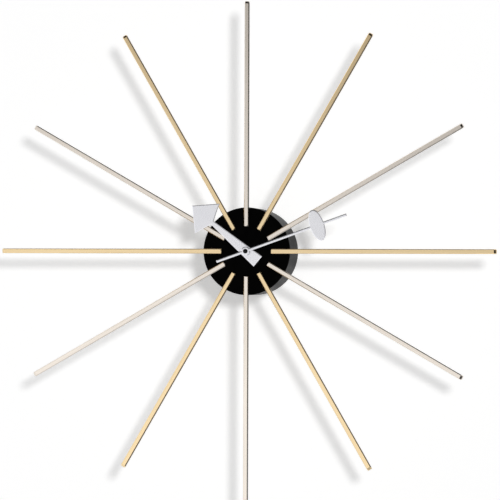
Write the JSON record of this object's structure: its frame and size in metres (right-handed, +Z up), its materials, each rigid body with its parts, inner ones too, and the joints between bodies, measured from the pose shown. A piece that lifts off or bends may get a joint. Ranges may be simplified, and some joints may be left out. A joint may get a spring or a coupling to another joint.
{
  "type": "sunburst wall clock",
  "caption": "Wall clock with a sunburst of square metal rods on a black drum, a kite hour hand, an oval minute hand, a geared battery movement and a keyhole hanger.",
  "frame": {"origin": "on the clock's axis at the wall plane, on the rear face of the hanger strip", "axes": "+Y into the wall, +Z up to 12 o'clock, +X right as seen from the front"},
  "size_m": [0.61, 0.0808, 0.61],
  "materials": {
    "drum_enamel": "satin black",
    "rod_brass": "fine brushed",
    "rod_aluminium": "fine brushed",
    "hand_metal": "pale satin",
    "black_metal": "gloss black",
    "steel": "zinc plated",
    "black_plastic": "moulded",
    "white_plastic": "moulded",
    "train_brass": "machined",
    "rubber": "matt",
    "copper": "enamelled wire",
    "board": "solder mask",
    "battery_wrap": "wrapped cell",
    "magnet": "sintered"
  },
  "bodies": {
    "clock_body": {"drum": "drum_enamel", "neck_nut": "black_metal", "neck_washer": "black_metal", "rubber_washer": "rubber", "movement_case": "black_plastic", "movement_cover": "black_plastic", "train_plate": "black_plastic", "contact_positive": "steel", "contact_negative": "steel", "circuit_board": "board", "quartz_crystal": "steel", "coil_winding": "copper", "coil_core": "steel", "stator": "steel", "hanger_strip": "steel", "pillar_upper": "steel", "pillar_lower": "steel", "pillar_screw_upper": "steel", "pillar_screw_lower": "steel", "rod_01": "rod_brass", "rod_02": "rod_aluminium", "rod_03": "rod_brass", "rod_04": "rod_aluminium", "rod_05": "rod_brass", "rod_06": "rod_aluminium", "rod_07": "rod_brass", "rod_08": "rod_aluminium", "rod_09": "rod_brass", "rod_10": "rod_aluminium", "rod_11": "rod_brass", "rod_12": "rod_aluminium", "rod_screw_01": "steel", "rod_screw_02": "steel", "rod_screw_03": "steel", "rod_screw_04": "steel", "rod_screw_05": "steel", "rod_screw_06": "steel", "rod_screw_07": "steel", "rod_screw_08": "steel", "rod_screw_09": "steel", "rod_screw_10": "steel", "rod_screw_11": "steel", "rod_screw_12": "steel"},
    "minute_set": {"minute_hand": "hand_metal", "hand_cap_nut": "black_metal", "centre_wheel": "train_brass"},
    "hour_set": {"hour_hand": "hand_metal", "hour_wheel": "white_plastic"},
    "motion_work": {"motion_wheel": "white_plastic"},
    "setting_set": {"setting_arbor": "white_plastic", "setting_knob": "black_plastic"},
    "third": {"third_wheel": "white_plastic"},
    "seconds": {"seconds_wheel": "white_plastic"},
    "intermediate": {"intermediate_wheel": "white_plastic"},
    "motor_rotor": {"rotor": "magnet"},
    "cell": {"battery": "battery_wrap"}
  },
  "joints": [
    {"name": "minute_turn", "type": "hinge", "parent": "clock_body", "child": "minute_set", "pos_m": [0, -0.0562, 0], "axis": [0, 1, 0], "continuous": true},
    {"name": "hour_turn", "type": "hinge", "parent": "clock_body", "child": "hour_set", "pos_m": [0, -0.0606, 0], "axis": [0, 1, 0], "continuous": true},
    {"name": "motion_turn", "type": "hinge", "parent": "clock_body", "child": "motion_work", "pos_m": [-0.00786, -0.0584, -0.00551], "axis": [0, 1, 0], "continuous": true},
    {"name": "setting_turn", "type": "hinge", "parent": "clock_body", "child": "setting_set", "pos_m": [-0.01732, -0.0584, -0.00717], "axis": [0, 1, 0], "continuous": true},
    {"name": "third_turn", "type": "hinge", "parent": "clock_body", "child": "third", "pos_m": [-0.0038, -0.054, 0.00816], "axis": [0, 1, 0], "continuous": true},
    {"name": "seconds_turn", "type": "hinge", "parent": "clock_body", "child": "seconds", "pos_m": [-0.01179, -0.0518, 0.01106], "axis": [0, 1, 0], "continuous": true},
    {"name": "intermediate_turn", "type": "hinge", "parent": "clock_body", "child": "intermediate", "pos_m": [-0.01856, -0.0496, 0.0086], "axis": [0, 1, 0], "continuous": true},
    {"name": "rotor_turn", "type": "hinge", "parent": "clock_body", "child": "motor_rotor", "pos_m": [-0.02095, -0.0536, 0.01518], "axis": [0, 1, 0], "continuous": true},
    {"name": "battery_slide", "type": "slide", "parent": "clock_body", "child": "cell", "axis": [0, 1, 0], "range_m": [0, 0.03]}
  ],
  "couplings": [
    {"joint": "hour_turn", "follows": "minute_turn", "ratio": 0.083333},
    {"joint": "motion_turn", "follows": "minute_turn", "ratio": -0.33333},
    {"joint": "setting_turn", "follows": "minute_turn", "ratio": 1},
    {"joint": "third_turn", "follows": "minute_turn", "ratio": -8},
    {"joint": "seconds_turn", "follows": "minute_turn", "ratio": 60},
    {"joint": "intermediate_turn", "follows": "minute_turn", "ratio": -300},
    {"joint": "rotor_turn", "follows": "minute_turn", "ratio": 1800}
  ]
}
